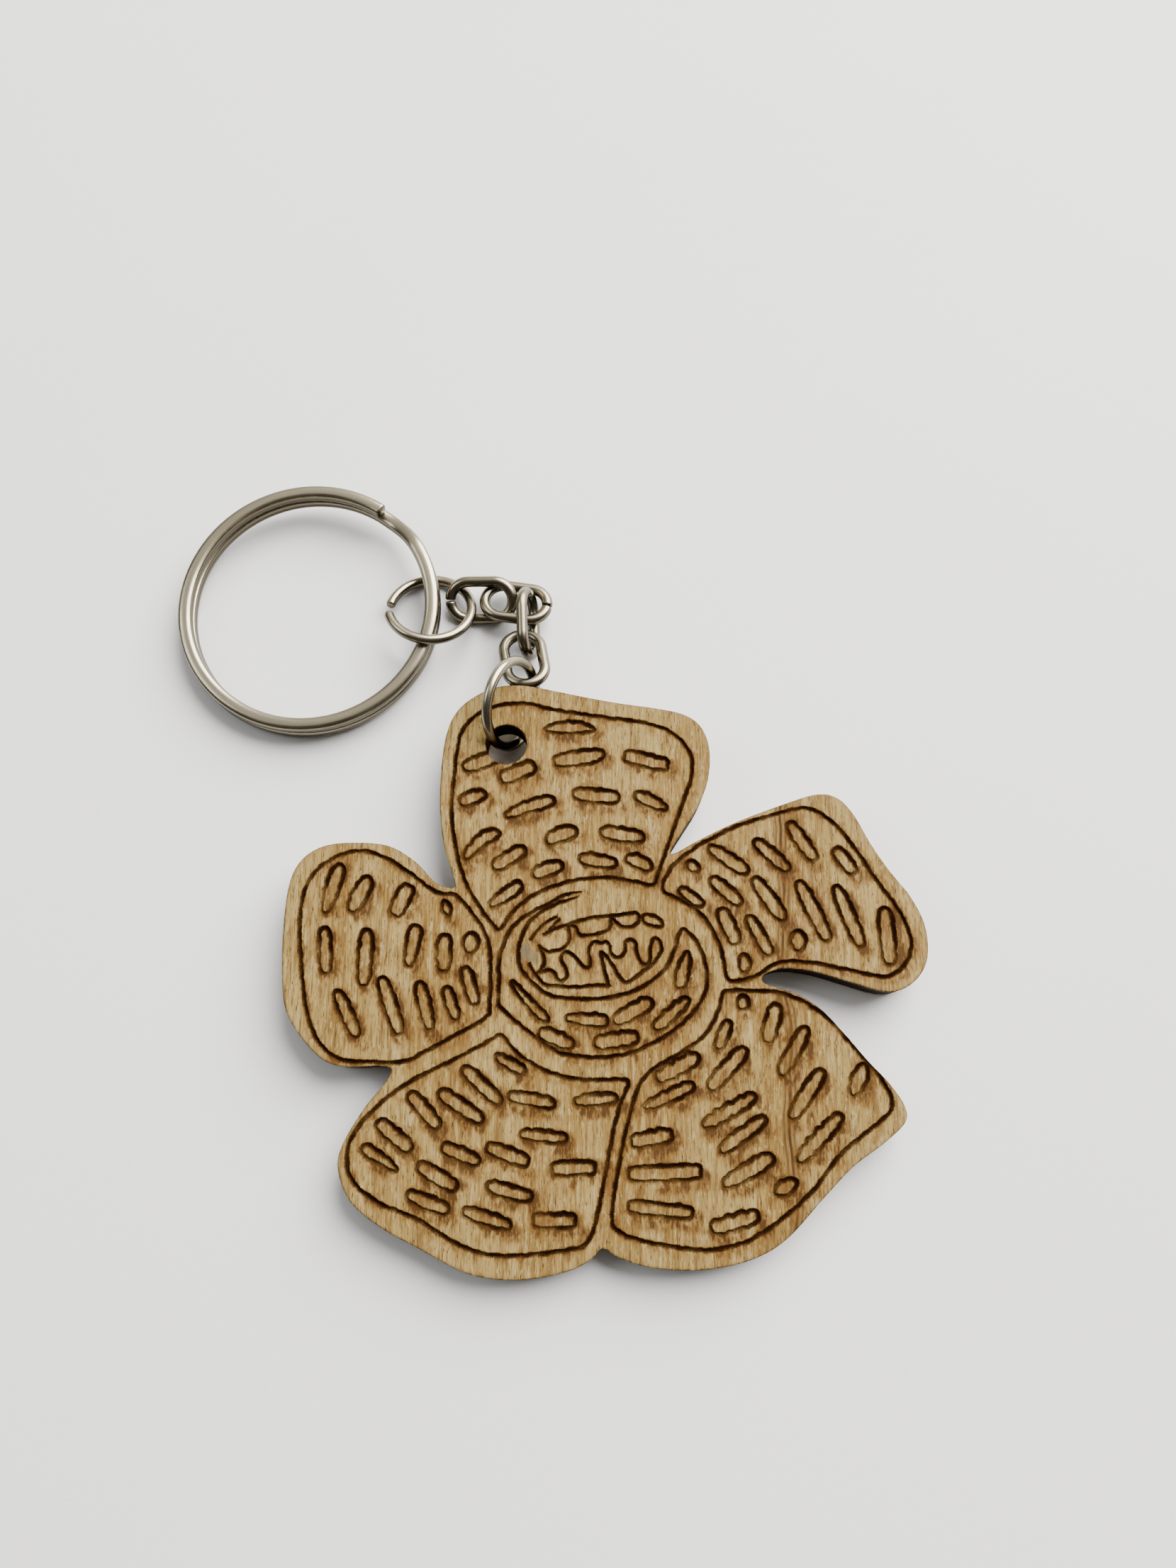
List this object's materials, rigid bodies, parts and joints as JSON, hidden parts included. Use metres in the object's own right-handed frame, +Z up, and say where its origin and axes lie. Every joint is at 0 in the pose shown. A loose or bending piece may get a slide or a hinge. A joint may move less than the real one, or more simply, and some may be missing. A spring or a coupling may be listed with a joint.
{
  "type": "keychain",
  "caption": "Plywood flower charm with burnt line decoration, on a short link chain with jump rings and a flat wire split ring.",
  "frame": {"origin": "centre of the bounding box, on the surface that the keychain lies on", "axes": "+Z up from that surface, +Y along the charm's grain from its bottom petal towards its top petal, +X to the charm's right seen from its front"},
  "size_m": [0.0688, 0.0724, 0.0082],
  "materials": {
    "burnt_veneer": "smooth pale veneer with dark burnt lines",
    "core_wood": "laser-browned edge",
    "plain_veneer": "smooth pale veneer",
    "nickel": "worn nickel plate"
  },
  "bodies": {
    "charm": {"front_veneer": "burnt_veneer", "core_ply": "core_wood", "back_veneer": "plain_veneer"},
    "charm_ring": {"charm_ring": "nickel"},
    "chain_link_1": {"chain_link_1": "nickel"},
    "chain_link_2": {"chain_link_2": "nickel"},
    "chain_link_3": {"chain_link_3": "nickel"},
    "chain_link_4": {"chain_link_4": "nickel"},
    "chain_ring": {"chain_ring": "nickel"},
    "split_ring": {"split_ring": "nickel"}
  },
  "joints": [
    {"name": "charm_ring_swing", "type": "hinge", "parent": "charm", "child": "charm_ring", "pos_m": [-0.003, 0.01296, 0.00337], "axis": [0.8679, 0.069, 0.4919], "range_deg": [-3, 90]},
    {"name": "link_1_swing", "type": "hinge", "parent": "charm_ring", "child": "chain_link_1", "pos_m": [-0.00066, 0.01662, 0.00287], "axis": [-0.4018, 0.4898, 0.7737], "range_deg": [-45, 70]},
    {"name": "link_2_swing", "type": "hinge", "parent": "chain_link_1", "child": "chain_link_2", "pos_m": [-0.00108, 0.02076, 0.0019], "axis": [0.8982, -0.2671, 0.3491], "range_deg": [-65, 55]},
    {"name": "link_3_swing", "type": "hinge", "parent": "chain_link_2", "child": "chain_link_3", "pos_m": [-0.00065, 0.02289, 0.00056], "axis": [0.167, -0.7308, -0.6618], "range_deg": [-40, 85]},
    {"name": "link_4_swing", "type": "hinge", "parent": "chain_link_3", "child": "chain_link_4", "pos_m": [-0.00425, 0.02568, 0.00124], "axis": [-0.526, -0.623, 0.579], "range_deg": [-90, 3]},
    {"name": "chain_ring_swing", "type": "hinge", "parent": "chain_link_4", "child": "chain_ring", "pos_m": [-0.00792, 0.02553, 0.00218], "axis": [0.2069, 0.6838, 0.6998], "range_deg": [-85, 15]},
    {"name": "split_ring_turn", "type": "hinge", "parent": "chain_ring", "child": "split_ring", "pos_m": [-0.02185, 0.02375, 0.00077], "axis": [-0.025, -0.047, 0.9986], "continuous": true}
  ]
}
